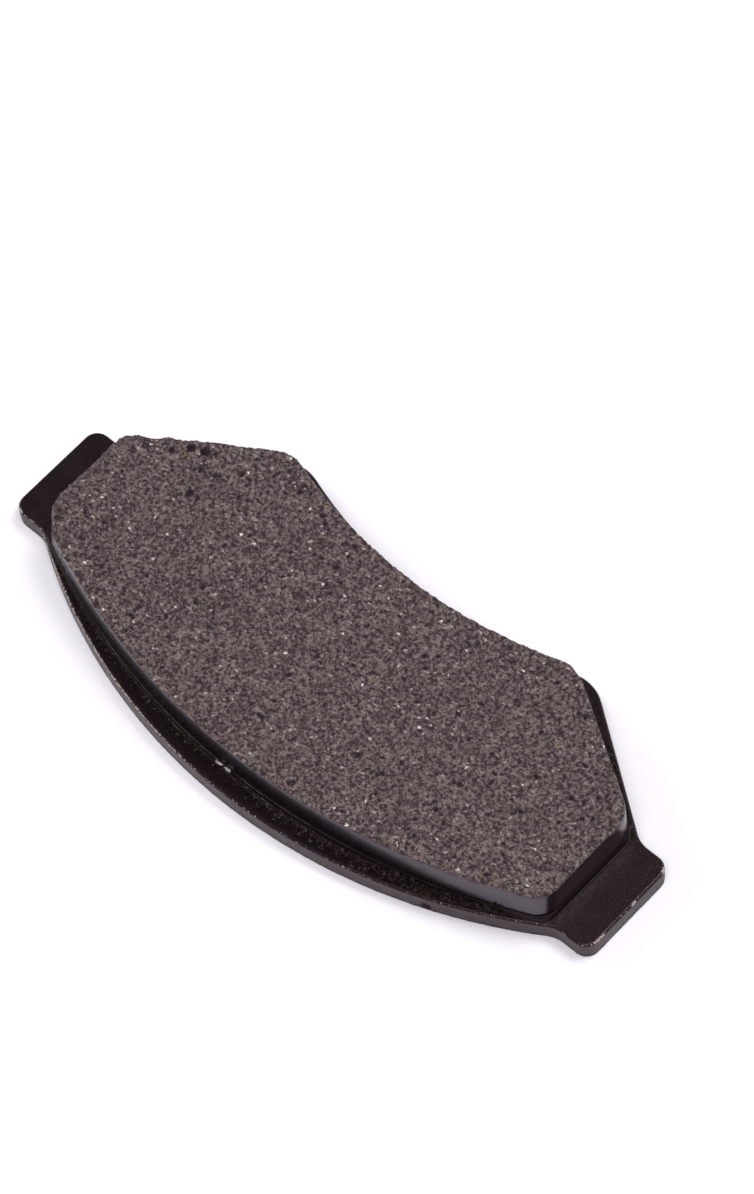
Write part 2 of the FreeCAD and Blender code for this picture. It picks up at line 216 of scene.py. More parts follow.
class Graph:
    """A material's nodes, with a short method for each kind that the pad uses.  Sizes are in metres."""

    def __init__(self, name):
        self.material = bpy.data.materials.new(name)
        self.material.use_nodes = True
        self.tree = self.material.node_tree
        self.tree.nodes.clear()
        self.place = self.tree.nodes.new("ShaderNodeTexCoord").outputs["Object"]

    def put(self, node, key, value):
        """Sets a node's socket to a number or a colour, or links another node's output to it."""
        if isinstance(value, bpy.types.NodeSocket):
            self.tree.links.new(value, node.inputs[key])
        else:
            node.inputs[key].default_value = value

    def noise(self, feature, detail=2.0, roughness=0.5, output="Fac"):
        """Cloudy noise from 0 to 1, with features of one size and finer ones in detail."""
        node = self.tree.nodes.new("ShaderNodeTexNoise")
        self.put(node, "Vector", self.place)
        self.put(node, "Scale", 1 / feature)
        self.put(node, "Detail", detail)
        self.put(node, "Roughness", roughness)
        return node.outputs[output]

    def cells(self, feature, place, output="Distance"):
        """Round cells in plan, the same at every height."""
        node = self.tree.nodes.new("ShaderNodeTexVoronoi")
        node.voronoi_dimensions = "2D"
        self.put(node, "Vector", place)
        self.put(node, "Scale", 1 / feature)
        return node.outputs[output]

    def stretched(self, place, turn, ratio):
        """A place, turned about Z and squeezed along X, so that a texture there is long."""
        node = self.tree.nodes.new("ShaderNodeMapping")
        self.put(node, "Vector", place)
        self.put(node, "Rotation", (0, 0, math.radians(turn)))
        self.put(node, "Scale", (1 / ratio, 1, 1))
        return node.outputs["Vector"]

    def leaning(self, place, top):
        """A place, moved along X and Y by how far it lies below a height, so that a texture that is the same
        at every height has spots on upright walls, not streaks."""
        parts = self.tree.nodes.new("ShaderNodeSeparateXYZ")
        self.put(parts, "Vector", place)
        below = self.math("SUBTRACT", top, parts.outputs["Z"])
        shift = self.tree.nodes.new("ShaderNodeCombineXYZ")
        self.put(shift, "X", self.math("MULTIPLY", below, LEAN_X))
        self.put(shift, "Y", self.math("MULTIPLY", below, LEAN_Y))
        node = self.tree.nodes.new("ShaderNodeVectorMath")
        node.operation = "ADD"
        self.put(node, 0, place)
        self.put(node, 1, shift.outputs["Vector"])
        return node.outputs["Vector"]

    def ragged(self, feature, amount):
        """The place, shifted by noise, so that the outlines of a texture there are uneven."""
        node = self.tree.nodes.new("ShaderNodeVectorMath")
        node.operation = "MULTIPLY_ADD"
        self.put(node, 0, self.noise(feature, output="Color"))
        self.put(node, 1, (amount, amount, amount))
        self.put(node, 2, self.place)
        return node.outputs["Vector"]

    def specks(self, feature, share, smallest, largest, place, turn=0, ratio=1):
        """A mask of scattered spots: a share of the texture's cells has one, and its radius runs from
        smallest to largest cells."""
        place = self.stretched(place, turn, ratio)
        chance = self.tree.nodes.new("ShaderNodeSeparateColor")
        self.put(chance, "Color", self.cells(feature, place, "Color"))
        picked = self.math("LESS_THAN", chance.outputs["Red"], share)
        radius = self.ramp(chance.outputs["Green"], 0, 1, smallest, largest)
        inside = self.math("SUBTRACT", radius, self.cells(feature, place))
        return self.math("MULTIPLY", picked, self.ramp(inside, -0.03, 0.03))

    def math(self, operation, first, second=0.0):
        """A sum, difference, product or comparison of two values."""
        node = self.tree.nodes.new("ShaderNodeMath")
        node.operation = operation
        self.put(node, 0, first)
        self.put(node, 1, second)
        return node.outputs[0]

    def ramp(self, value, low, high, first=0.0, last=1.0):
        """Maps low..high to first..last, held at both ends."""
        node = self.tree.nodes.new("ShaderNodeMapRange")
        node.interpolation_type = "SMOOTHSTEP"
        self.put(node, "Value", value)
        self.put(node, "From Min", low)
        self.put(node, "From Max", high)
        self.put(node, "To Min", first)
        self.put(node, "To Max", last)
        return node.outputs["Result"]

    def blend(self, share, first, second):
        """A mix of two colours."""
        node = self.tree.nodes.new("ShaderNodeMix")
        node.data_type = "RGBA"
        self.put(node, 0, share)
        self.put(node, 6, first)
        self.put(node, 7, second)
        return node.outputs[2]

    def blend_directions(self, share, first, second):
        """A mix of two surface directions."""
        node = self.tree.nodes.new("ShaderNodeMix")
        node.data_type = "VECTOR"
        self.put(node, 0, share)
        self.put(node, 4, first)
        self.put(node, 5, second)
        return node.outputs[1]

    def value(self, name):
        """One of the mesh's named values."""
        node = self.tree.nodes.new("ShaderNodeAttribute")
        node.attribute_name = name
        return node.outputs["Fac"]

    def bump(self, height, distance):
        """The surface direction over a relief, whose height of 1 stands for a distance."""
        node = self.tree.nodes.new("ShaderNodeBump")
        self.put(node, "Height", height)
        self.put(node, "Distance", distance)
        self.put(node, "Strength", 1.0)
        return node.outputs["Normal"]

    def finish(self, **sockets):
        """Ends the graph in a Principled shader, with its sockets by name (underscores for spaces)."""
        shader = self.tree.nodes.new("ShaderNodeBsdfPrincipled")
        for key, value in sockets.items():
            self.put(shader, key.replace("_", " "), value)
        output = self.tree.nodes.new("ShaderNodeOutputMaterial")
        self.tree.links.new(shader.outputs["BSDF"], output.inputs["Surface"])
        return self.material


def tint(red, green, blue):
    """A linear colour from 0-255 display values."""
    def linear(level):
        share = level / 255
        return share / 12.92 if share <= 0.04045 else ((share + 0.055) / 1.055) ** 2.4
    return (linear(red), linear(green), linear(blue), 1.0)


# Casts of the dark surfaces: violet on what is moulded, a warmer plum on the paint.
VIOLET_CAST = (0.96, 0.65, 0.88, 1.0)
PLUM_CAST = (1.0, 0.68, 0.78, 1.0)


def ground_colour(graph, grain, fine):
    """The ground face: brown-grey grain, with dark grains that double as painted pit shade, pale and white
    grains, and a few of brass.
    """
    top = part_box("friction_block")[1].z
    ragged = graph.leaning(graph.ragged(0.4 * MM, 0.6 * MM), top)
    colour = graph.blend(graph.ramp(grain, 0.34, 0.66), tint(39, 32, 30), tint(131, 119, 112))
    colour = graph.blend(graph.ramp(fine, 0.40, 0.62, 0.45, 0.0), colour, tint(60, 51, 48))
    patch = graph.ramp(graph.noise(5.0 * MM, 2.0), 0.5, 0.7, 0.0, 0.3)
    colour = graph.blend(patch, colour, tint(72, 62, 57))
    # Dark grains, which also serve as painted shade of small pits.
    dark = graph.specks(1.35 * MM, 0.30, 0.08, 0.30, ragged, 20, 1.4)
    colour = graph.blend(graph.math("MULTIPLY", dark, 0.75), colour, tint(32, 26, 24))
    pale = graph.specks(1.0 * MM, 0.28, 0.1, 0.34, ragged, 70, 1.6)
    colour = graph.blend(graph.math("MULTIPLY", pale, 0.65), colour, tint(150, 139, 132))
    # Painted shade: the face is darkened by how deep it lies in its pits and cavities.
    colour = graph.blend(graph.ramp(graph.value("sunk"), 0, 1, 0, 0.95), colour, tint(17, 13, 12))
    crowd = graph.ramp(graph.noise(6.0 * MM, 2.0), 0.35, 0.6, 0.2, 1.0)
    light = graph.specks(1.5 * MM, 0.30, 0.03, 0.16, ragged, 35, 1.6)
    colour = graph.blend(graph.math("MULTIPLY", light, crowd), colour, tint(176, 164, 158))
    white = graph.specks(3.2 * MM, 0.42, 0.01, 0.08, ragged, 110, 1.6)
    colour = graph.blend(graph.math("MULTIPLY", white, crowd), colour, tint(232, 224, 216))
    brass = graph.specks(7.0 * MM, 0.05, 0.02, 0.05, ragged, 160, 1.4)
    return graph.blend(brass, colour, tint(150, 132, 92))


def friction_material():
    """Ground friction mix on the face, and a dark semi-gloss moulded skin where the value skin is 1.
    Where burr is 1 the mix is smeared purple-grey, and where sunk is 1 it is darkened as painted shade in the
    pits."""
    graph = Graph("friction_mix")
    grain = graph.noise(0.8 * MM, 2.0, 0.6)
    fine = graph.noise(0.4 * MM, 2.0, 0.6)
    ground = ground_colour(graph, grain, fine)
    burr = graph.math("MULTIPLY", graph.value("burr"), graph.ramp(fine, 0.3, 0.6, 0.4, 0.9))
    ground = graph.blend(burr, ground, tint(96, 86, 92))
    uneven = graph.ramp(grain, 0, 1, -0.4, 0.4)
    skin = graph.ramp(graph.math("ADD", graph.value("skin"), uneven), 0.4, 0.6)
    mottle = graph.noise(2.5 * MM, 4.0, 0.6)
    moulded = graph.blend(graph.ramp(mottle, 0.35, 0.7), tint(8, 5, 7), tint(17, 11, 14))
    colour = graph.blend(skin, ground, moulded)
    roughness = graph.ramp(skin, 0, 1, 0.85, 0.24)
    rough = graph.bump(graph.math("ADD", grain, graph.math("MULTIPLY", fine, 0.6)), 0.7 * MM)
    slick = graph.bump(graph.noise(6 * MM, 2.0), 0.08 * MM)
    normal = graph.blend_directions(skin, rough, slick)
    return graph.finish(Base_Color=colour, Roughness=roughness, Normal=normal, Specular_Tint=VIOLET_CAST)


def underlayer_material():
    """Near-black moulded layer, grainy at its edge, with a pale painted highlight line where the value lip is
    1.
    """
    graph = Graph("underlayer_mix")
    grit = graph.noise(0.5 * MM, 4.0, 0.65)
    colour = graph.blend(graph.ramp(grit, 0.4, 0.75), tint(11, 7, 7), tint(26, 18, 18))
    uneven = graph.ramp(graph.noise(0.9 * MM), 0.35, 0.6, 0.2, 1.0)
    # Painted highlight: a pale line along the top of the lip, broken up by noise.
    painted_lip_highlight = graph.math("MULTIPLY", graph.value("lip"), uneven)
    colour = graph.blend(painted_lip_highlight, colour, tint(136, 124, 120))
    normal = graph.bump(grit, 0.15 * MM)
    return graph.finish(
        Base_Color=colour, Roughness=0.6, Specular_IOR_Level=0.25, Normal=normal, Specular_Tint=PLUM_CAST
    )


def plate_material():
    """Satin black paint: duller where the value torn is 1, browned by resin where resin is 1, and worn to
    steel where bare is high."""
    graph = Graph("plate_paint")
    peel = graph.noise(0.3 * MM, 3.0, 0.55)
    grit = graph.noise(0.7 * MM, 3.0, 0.6)
    flow = graph.noise(6 * MM, 3.0)
    colour = graph.blend(graph.ramp(flow, 0.3, 0.7), tint(13, 9, 9), tint(21, 16, 15))
    rusty = graph.ramp(grit, 0.62, 0.72, 0.0, 0.5)
    colour = graph.blend(rusty, colour, tint(44, 31, 28))
    gummed = graph.math("MULTIPLY", graph.value("resin"), graph.ramp(grit, 0.25, 0.55, 0.6, 1.0))
    gum = graph.blend(graph.ramp(grit, 0.5, 0.75), tint(7, 3, 2), tint(24, 15, 11))
    colour = graph.blend(gummed, colour, gum)
    torn = graph.value("torn")
    rough_paint = graph.blend(graph.ramp(peel, 0.35, 0.65), tint(24, 12, 17), tint(48, 31, 40))
    colour = graph.blend(torn, colour, rough_paint)
    uneven = graph.ramp(graph.noise(0.5 * MM, 3.0, 0.6), 0.2, 0.8, -0.5, 0.5)
    bare = graph.ramp(graph.math("ADD", graph.value("bare"), uneven), 0.48, 0.60)
    steel = graph.blend(graph.ramp(peel, 0.3, 0.7), tint(126, 116, 108), tint(214, 204, 196))
    colour = graph.blend(bare, colour, steel)
    roughness = graph.math("ADD", graph.ramp(peel, 0.3, 0.7, 0.25, 0.33), graph.math("MULTIPLY", torn, 0.25))
    painted = graph.math("ADD", peel, graph.math("MULTIPLY", grit, 0.8))
    height = graph.math("SUBTRACT", painted, bare)
    metal = graph.math("MULTIPLY", bare, 0.5)
    normal = graph.bump(height, 0.05 * MM)
    return graph.finish(
        Base_Color=colour, Roughness=roughness, Metallic=metal, Specular_IOR_Level=0.42, Normal=normal,
        Specular_Tint=PLUM_CAST,
    )


def flash_material():
    """Moulding flash: dark, lumpy and a little shiny, and scuffed pale where the value pale is 1."""
    graph = Graph("mould_flash_mix")
    grit = graph.noise(0.3 * MM, 3.0)
    colour = graph.blend(graph.ramp(grit, 0.45, 0.75), tint(6, 3, 2), tint(46, 29, 20))
    colour = graph.blend(graph.value("pale"), colour, tint(205, 196, 194))
    normal = graph.bump(grit, 0.08 * MM)
    return graph.finish(
        Base_Color=colour, Roughness=0.55, Specular_IOR_Level=0.2, Normal=normal, Specular_Tint=PLUM_CAST
    )


def film_material():
    """Brown-black adhesive."""
    graph = Graph("adhesive_film")
    streak = graph.noise(0.7 * MM, 2.0)
    colour = graph.blend(graph.ramp(streak, 0.3, 0.7), tint(24, 16, 15), tint(42, 31, 28))
    return graph.finish(Base_Color=colour, Roughness=0.5, Normal=graph.bump(streak, 0.02 * MM))


# ---- the friction block ----

BLOCK_STEP = 0.4 * MM  # between the points of its outline
FACE_PITCH = 0.35 * MM  # between the points of its face
DRAFT = 0.15 * MM  # how far the walls lean in from the foot to the rim
RIM_ROUND = 0.5 * MM  # radius of the rim's rounding
CORNER = 2.4 * MM  # how far from a corner its rounding starts
CAVITY = 0.42 * MM  # depth of the cavities where grains broke out
FACE_MARGIN = RIM_ROUND + 0.35 * MM  # between the rim and the face's own points
# Where the rim is broken: (share of the half length, share of the width from the outer wall, reach, depth),
# the last two in millimetres.  The left end is the most worn, and its first break runs down the wall.
BREAKS = [
    (-0.995, 0.25, 7.5, 1.3),
    (-1.00, 0.52, 4.0, 0.25),
    (-0.97, 0.70, 2.5, 0.35),
    (-0.925, 0.735, 4.4, 0.95),
    (-0.85, 0.795, 3.0, 0.3),
    (-0.50, 1.00, 2.0, 0.3),
    (0.58, 1.00, 2.2, 0.35),
    (0.80, 0.86, 1.8, 0.3),
    (0.99, 0.62, 2.2, 0.45),
    (0.99, 0.34, 2.0, 0.3),
]
BREAK_HEIGHT = 1.1 * MM  # how far down the wall a break reaches
LONG_BREAK_HEIGHT = 9.0 * MM  # how much further down the first one reaches
# The widest pits of the face, the same way.
PITS = [
    (-0.805, 0.79, 1.5, 1.1),
    (-0.763, 0.81, 1.6, 1.2),
    (-0.702, 0.657, 1.3, 0.9),
    (-0.845, 0.74, 1.2, 0.8),
]
SMALL_PITS = 420  # how many more there are
CHIP_GRAIN = 1.4 * MM  # size of the smeared patches at the worn end


def hollows(places, spots, low, high):
    """How deep each place lies in a set of round hollows, which are listed as shares of a box."""
    depth = np.zeros(len(places))
    for share, width, reach, deepest in spots:
        centre = (high.x * share, low.y + (high.y - low.y) * width)
        gone = np.hypot(*(places - centre).T) / (reach * MM)
        depth = np.maximum(depth, deepest * MM * smooth(1.2 * (1 - gone)))
    return depth


def small_pits(places, low, high):
    """How deep each place lies in many small pits, which are strewn over a box."""
    depth = np.zeros(len(places))
    tree = kdtree.KDTree(len(places))
    for number, place in enumerate(places):
        tree.insert((*place, 0), number)
    tree.balance()
    for _ in range(SMALL_PITS):
        centre = (*random.uniform(low.xy, high.xy), 0)
        reach = random.uniform(0.45, 1.0) * MM
        deepest = random.uniform(0.2, 0.55) * MM
        for _, number, gone in tree.find_range(centre, reach):
            depth[number] = max(depth[number], deepest * float(smooth(1.4 - 1.4 * gone / reach)))
    return depth


def cavities(places):
    """Where grains have broken out of the ground face: 0 on the flats between the cavities, 1 inside."""
    return smooth((-bumps(places, 1.0 * MM, 4, octaves=2) - 0.12) / 0.2)


def soften(outline, reach, step):
    """The outline with its corners rounded, each point averaged with those within a reach to each side."""
    count = round(reach / step)
    shifted = [np.roll(outline.points, shift, axis=0) for shift in range(-count, count + 1)]
    return Outline(np.mean(shifted, axis=0), step)


def at_worn_end(places, high):
    """1 within a few millimetres of the block's left end, which is the most worn, and 0 elsewhere."""
    return smooth((-places[:, 0] / high.x - 0.93) / 0.03)


def block_rings(shell, outline, low, high):
    """The block's walls and rim, as rings from the foot up to the face."""
    broken = hollows(outline.points, BREAKS, low, high)
    long_break = hollows(outline.points, BREAKS[:1], low, high) / (BREAKS[0][3] * MM)
    break_height = BREAK_HEIGHT + LONG_BREAK_HEIGHT * long_break
    wave = 0.03 * MM + 0.05 * MM * (1 + bumps(outline.points, 13 * MM, 3, octaves=2))
    end_wear = at_worn_end(outline.points, high)
    chafed = smooth((-outline.points[:, 0] / high.x - 0.70) / 0.2)
    ragged = smooth(0.45 + 0.9 * bumps(outline.points, 1.0 * MM, 2, octaves=3))
    crumble = 0.55 * MM * ragged * (1 + 0.5 * end_wear)
    open_rim = cavities(outline.inset(RIM_ROUND))
    thickness = high.z - low.z
    wall_unders = np.linspace(1, 0.16, 12) * thickness
    rim_unders = np.array([1.15, 0.9, 0.7, 0.52, 0.36, 0.22, 0.1, 0]) * MM
    rings = []
    for under in (*wall_unders, *rim_unders):
        height = high.z - under
        up_the_round = max(RIM_ROUND - under, 0)
        rounding = RIM_ROUND - math.sqrt(RIM_ROUND**2 - up_the_round**2)
        depth = wave + DRAFT * (height - low.z) / thickness + rounding
        depth += broken * smooth(1.2 - under / (break_height + broken))
        depth += crumble * math.exp(-under / (0.45 * MM))
        drop = (0.25 * broken + 0.2 * MM * open_rim + 0.5 * crumble) * math.exp(-under / (0.4 * MM))
        spots = at_height(outline.points, height)
        grit = 0.05 * MM * (1 + bumps(spots, 0.6 * MM, 6)) * math.exp(-under / (0.7 * MM))
        skin = smooth((under - 0.55 * MM - 1.3 * broken + 0.25 * MM * ragged) / (0.3 * MM))
        skin *= 1 - 0.8 * chafed * smooth(0.6 + bumps(spots, 1.5 * MM, 8, octaves=2))
        burr = end_wear * (under < 0.8 * MM) * smooth(0.5 + 1.6 * bumps(spots, CHIP_GRAIN, 7, octaves=2))
        # Painted shade where the face's cavities open at the rim.
        sunk = 0.5 * open_rim * (under < 0.4 * MM)
        ring = shell.add(outline.inset(depth + grit), height - drop, skin=skin, burr=burr, sunk=sunk)
        rings.append(ring)
    return rings


def block_face(shell, outline, low, high):
    """The points of the block's ground face, with its cavities, pits and worn end."""
    places = scatter(outline, FACE_PITCH, FACE_MARGIN)
    broken = hollows(outline.points, BREAKS, low, high)
    places = places[Outline(outline.inset(broken), BLOCK_STEP).depth(places) > FACE_MARGIN]
    rim_depth = outline.depth(places)
    cavity = cavities(places)
    relief = CAVITY * cavity + 0.13 * MM * (1 + bumps(places, 0.95 * MM, 5, octaves=2))
    pits = np.maximum(hollows(places, PITS, low, high), small_pits(places, low, high))
    pits = np.maximum(pits, 0.3 * hollows(places, BREAKS, low, high))
    relief = np.maximum(relief, pits) + 0.12 * MM * np.exp(-rim_depth / (0.8 * MM))
    burr = at_worn_end(places, high) * smooth(2.4 - rim_depth / (0.75 * MM))
    burr *= smooth(0.5 + 1.6 * bumps(places, CHIP_GRAIN, 7, octaves=2))
    # Painted shade in the cavities and pits, growing with their depth.
    sunk = np.clip(0.42 * cavity + pits / (0.5 * MM), 0, 1)
    return shell.add(places, high.z - relief, sunk=sunk, burr=burr)


def make_block():
    """The friction block: moulded walls, a crumbled rim and a coarse ground face."""
    low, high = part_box("friction_block")
    sharp = Outline(section("friction_block", (low.z + high.z) / 2)[0], BLOCK_STEP)
    outline = soften(sharp, CORNER, BLOCK_STEP)
    shell = Shell("skin", "sunk", "burr")
    rings = block_rings(shell, outline, low, high)
    shell.wall(rings)
    shell.cap([rings[0]], downward=True)
    shell.cap([rings[-1]], block_face(shell, outline, low, high))
    piece = shell.build("ground_friction_block", friction_material())
    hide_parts("friction_block")


# ---- the underlayer, with its keys ----

UNDERLAYER_STEP = 0.4 * MM  # between the points of its outline
HOLE_STEP = 0.8 * MM  # between the points round a key or a hole
# The underlayer's edge, from its foot up: (share of its height, millimetres in from the CAD outline).
EDGE_PROFILE = [
    (0, 0.14), (0.15, 0.05), (0.35, 0.1), (0.55, 0.14), (0.72, 0.16), (0.86, 0.1), (0.95, 0.02), (1, 0.08)
]
LIP_SHARE = 0.8  # the share of the height where the lip starts
# A key's end: (millimetres in from the hole, millimetres up from the end).
KEY_PROFILE = [(0.25, 0), (0.05, 0.15), (0, 0.4)]


def make_key(shell, key, end, plate_top):
    """A key, from its pocked end up to the plate's top.  Returns its upper rim."""
    rings = [shell.add(key.inset(depth * MM), end + up * MM) for depth, up in KEY_PROFILE]
    rings.append(shell.add(key.inset(0), plate_top))
    shell.wall(rings)
    inner = scatter(key, 0.6 * MM, 0.6 * MM)
    pocked = 0.12 * MM * (1 + bumps(inner, 1.0 * MM, 20))
    shell.cap([rings[0]], shell.add(inner, end + pocked), downward=True)
    return rings[-1]


def make_underlayer():
    """The underlayer: a rough moulded edge with a lip, and four keys down through the plate."""
    low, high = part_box("underlayer")
    plate_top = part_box("bond_film")[1].z
    outline = Outline(section("underlayer", (plate_top + high.z) / 2)[0], UNDERLAYER_STEP)
    keys = [Outline(loop, HOLE_STEP) for loop in section("underlayer", (low.z + plate_top) / 2)]
    shell = Shell("lip")
    share = outline.points[:, 0] / high.x
    front = smooth((-outline.points[:, 1] - 15 * MM) / (3 * MM))
    lip = front * smooth((share + 0.68) / 0.1) * smooth((0.48 - share) / 0.5)
    lip *= smooth(0.75 + 1.2 * bumps(outline.points, 5 * MM, 6))
    rings = []
    for number, (rise, depth) in enumerate(EDGE_PROFILE):
        rough = 0.14 * MM * (1 + bumps(outline.points, 0.8 * MM, 10 + number)) / 2
        back = (1 - lip) * 0.2 * MM if rise > LIP_SHARE else 0
        height = plate_top + (high.z - plate_top) * rise
        # The top band of the lip carries the painted highlight.
        lip_highlight = lip * (LIP_SHARE < rise < 1)
        rings.append(shell.add(outline.inset(depth * MM + rough + back), height, lip=lip_highlight))
    rings.append(shell.add(outline.inset(0.9 * MM), high.z))
    shell.wall(rings)
    shell.cap([rings[-1]], shell.add(scatter(outline, 6 * MM, 4 * MM), high.z))
    mouths = [make_key(shell, key, low.z, plate_top) for key in keys]
    shell.cap([rings[0], *mouths], holes=keys, downward=True)
    piece = shell.build("keyed_underlayer", underlayer_material())
    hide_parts("underlayer")
    return outline


# ---- the plate ----

PLATE_STEP = 0.3 * MM  # between the points of its outline
TORN_ZONE = 1.7 * MM  # how far up from the back the stamping tore instead of shearing
SKIM = 0.01 * MM  # how far inside the CAD's end faces it is still cut
# Heights of the rings round the plate's edge, in millimetres from the back, closest at the rolled rim.
PLATE_HEIGHTS = [0, 0.1, 0.3, *np.arange(0.5, 3.8, 0.25), 4.1, 4.6, 5.0, 5.12, 5.22, 5.31, 5.39, 5.46, 5.5]
# Where the rim's paint is knocked off: (share of the half length, Y and reach in millimetres).
KNOCKS = [(1.0, -10.6, 0.7), (1.0, -9.0, 0.5), (1.0, 1.7, 0.6), (0.99, 12.0, 0.7), (-0.975, -13.8, 0.5)]


def cad_insets(outline, node, height):
    """How far the CAD node's own section lies inside an outline, at each of its points."""
    return np.maximum(-Outline(section(node, height)[0], PLATE_STEP).depth(outline.points), 0)


def worn_rim(points, half_length):
    """How worn the rim's paint is at each point: more along the left of the outer edge, and at the knocks."""
    share, across = points[:, 0] / half_length, points[:, 1]
    front = across < -10 * MM
    worn = 0.22 + front * (0.08 + 0.42 * smooth((-share - 0.02) / 0.3) - 0.3 * smooth((-share - 0.80) / 0.04))
    for end, y, reach in KNOCKS:
        gone = np.hypot(points[:, 0] - end * half_length, across - y * MM) / (reach * MM)
        worn = np.maximum(worn, 1.2 * smooth(1.8 - gone))
    return worn


def plate_rings(shell, outline, low, high):
    """The plate's edge, as rings from the back up: torn and rough at first, then sheared, then rolled."""
    worn = worn_rim(outline.points, high.x)
    tear = 0.35 * MM * bumps(outline.points, 5 * MM, 29, octaves=3)
    rings = []
    for height in np.array(PLATE_HEIGHTS) * MM + low.z:
        cut = cad_insets(outline, "backing_plate", min(max(height, low.z + SKIM), high.z - SKIM))
        torn = smooth((TORN_ZONE + tear - height) / (0.4 * MM))
        spots = at_height(outline.points, height)
        dull = 0.5 + 0.25 * bumps(spots, 3 * MM, 35, octaves=3)
        torn_look = np.maximum(torn, dull * smooth((high.z - 0.4 * MM - height) / (0.3 * MM)))
        rough = torn * 0.06 * MM * (1.6 + bumps(spots, 0.7 * MM, 30, octaves=2))
        rim = smooth(1.2 - abs(height - high.z + 0.2 * MM) / (0.25 * MM))
        nibble = 0.05 * MM * rim * (1 + bumps(spots, 0.8 * MM, 34))
        rings.append(shell.add(outline.inset(cut + rough + nibble), height, torn=torn_look, bare=worn * rim))
    rings.append(shell.add(outline.inset(0.75 * MM), high.z))
    return rings


def hole_rims(shell, holes, low, high):
    """The walls of the holes.  Returns their rims, the lower ones and the upper ones."""
    bottoms, tops = [], []
    for hole in holes:
        rings = [
            shell.add(hole.inset(inset * MM), height)
            for inset, height in ((-0.2, low.z), (0, low.z + 0.2 * MM), (0, high.z))
        ]
        shell.wall(rings, inside_out=True)
        bottoms.append(rings[0])
        tops.append(rings[-1])
    return bottoms, tops


def clear_of(places, holes):
    """The places that lie at least a millimetre outside every hole."""
    return places[np.all([hole.depth(places) < -1 * MM for hole in holes], axis=0)]


def plate_top_points(shell, outline, layer, holes, top):
    """Points on the plate's top: close together on the lugs and the ledge, which are slightly uneven and
    browned by resin near the block, and sparse and level under the underlayer."""
    fine = scatter(outline, 0.5 * MM, 1.1 * MM)
    fine = fine[layer.depth(fine) < 1.5 * MM]
    coarse = scatter(outline, 3 * MM, 3 * MM)
    coarse = clear_of(coarse[layer.depth(coarse) > 3 * MM], holes)
    ledge = smooth(1 + layer.depth(fine) / (6 * MM))
    gummed = smooth(1.3 + layer.depth(fine) / (4 * MM)) * smooth((-fine[:, 1] - 15 * MM) / (4 * MM))
    dip = 0.012 * MM * (1 + bumps(fine, 1.6 * MM, 31)) + 0.07 * MM * ledge * (1 + bumps(fine, 0.9 * MM, 32))
    return [*shell.add(fine, top - dip, resin=gummed), *shell.add(coarse, top)]


def make_plate(layer):
    """The stamped plate: a sheared upper band and a torn lower band round its edge, a rolled upper rim, a
    dimple, four holes, and paint that is worn along the rim."""
    low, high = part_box("backing_plate")
    loops = section("backing_plate", low.z + 0.8 * (high.z - low.z))
    outline = Outline(loops[0], PLATE_STEP)
    holes = [Outline(loop, HOLE_STEP) for loop in loops[1:]]
    shell = Shell("torn", "bare", "resin")
    rings = plate_rings(shell, outline, low, high)
    shell.wall(rings)
    bottoms, tops = hole_rims(shell, holes, low, high)
    shell.cap([rings[-1], *tops], plate_top_points(shell, outline, layer, holes, high.z), holes)
    back = clear_of(scatter(outline, 2.5 * MM, 1.5 * MM), holes)
    lift = 0.015 * MM * (1 + bumps(back, 12 * MM, 33))
    shell.cap([rings[0], *bottoms], shell.add(back, low.z + lift), holes, downward=True)
    piece = shell.build("stamped_plate", plate_material())
    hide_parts("backing_plate")
    return outline


# ---- flash and the bond film ----

CRUMBS = 4200  # how many are tried, fewer being kept where there is less flash
CRUMB_CLEARANCE = 0.9 * MM  # between a crumb's middle and the plate's edge
SCUFFS = 22  # how many flakes
SCUFFED = np.array([-4.0, -32.0])  # where the foot of the block is scuffed pale, in millimetres
CRUST_STEPS = np.arange(11) * 0.2  # across the crust, from the underlayer out, as shares of its spread
CRUST_FOOT = 0.2 * MM  # how far the crust's foot is sunk into the plate


def add_crumb(shell, pebble, centre, size, pale=0.0):
    """A lump of flash: a pebble with a random turn, stretch and dents."""
    points = pebble[0] * random.uniform(0.75, 1.2, (len(pebble[0]), 1))
    turn = random.uniform(0, math.tau)
    spin = np.array([[math.cos(turn), math.sin(turn), 0], [-math.sin(turn), math.cos(turn), 0], [0, 0, 1]])
    points = points * (random.uniform(1.0, 1.8), 1.0, random.uniform(0.5, 0.8)) @ spin * size + centre
    numbers = shell.add(points[:, :2], points[:, 2], pale=pale)
    shell.faces += (pebble[1] + numbers[0]).tolist()


def make_pebble():
    """The points and faces of a small ball."""
    ball = bmesh.new()
    bmesh.ops.create_icosphere(ball, subdivisions=1, radius=1)
    points = np.array([vert.co for vert in ball.verts])
    faces = np.array([[vert.index for vert in face.verts] for face in ball.faces])
    ball.free()
    return points, faces


class Foot:
    """The foot of the underlayer, where flash was squeezed out: how much of it there is at each point."""

    def __init__(self, layer):
        self.points = layer.points
        self.share = self.points[:, 0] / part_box("underlayer")[1].x
        self.front = smooth((-self.points[:, 1] - 12 * MM) / (4 * MM))
        self.heaped = self.front * smooth((self.share - 0.35) / 0.25) * smooth((0.95 - self.share) / 0.05)
        behind = smooth((self.points[:, 1] - 13 * MM) / (3 * MM))
        self.shoulder = 0.8 * smooth((self.share - 0.72) / 0.06) * behind

    def crumbly(self, number):
        """The chance that a crumb lies near a point."""
        share = self.share[number]
        crusty = 0.25 + 0.75 * smooth((share + 0.1) / 0.3) * smooth((0.95 - share) / 0.06)
        return max(crusty * self.front[number], self.shoulder[number])


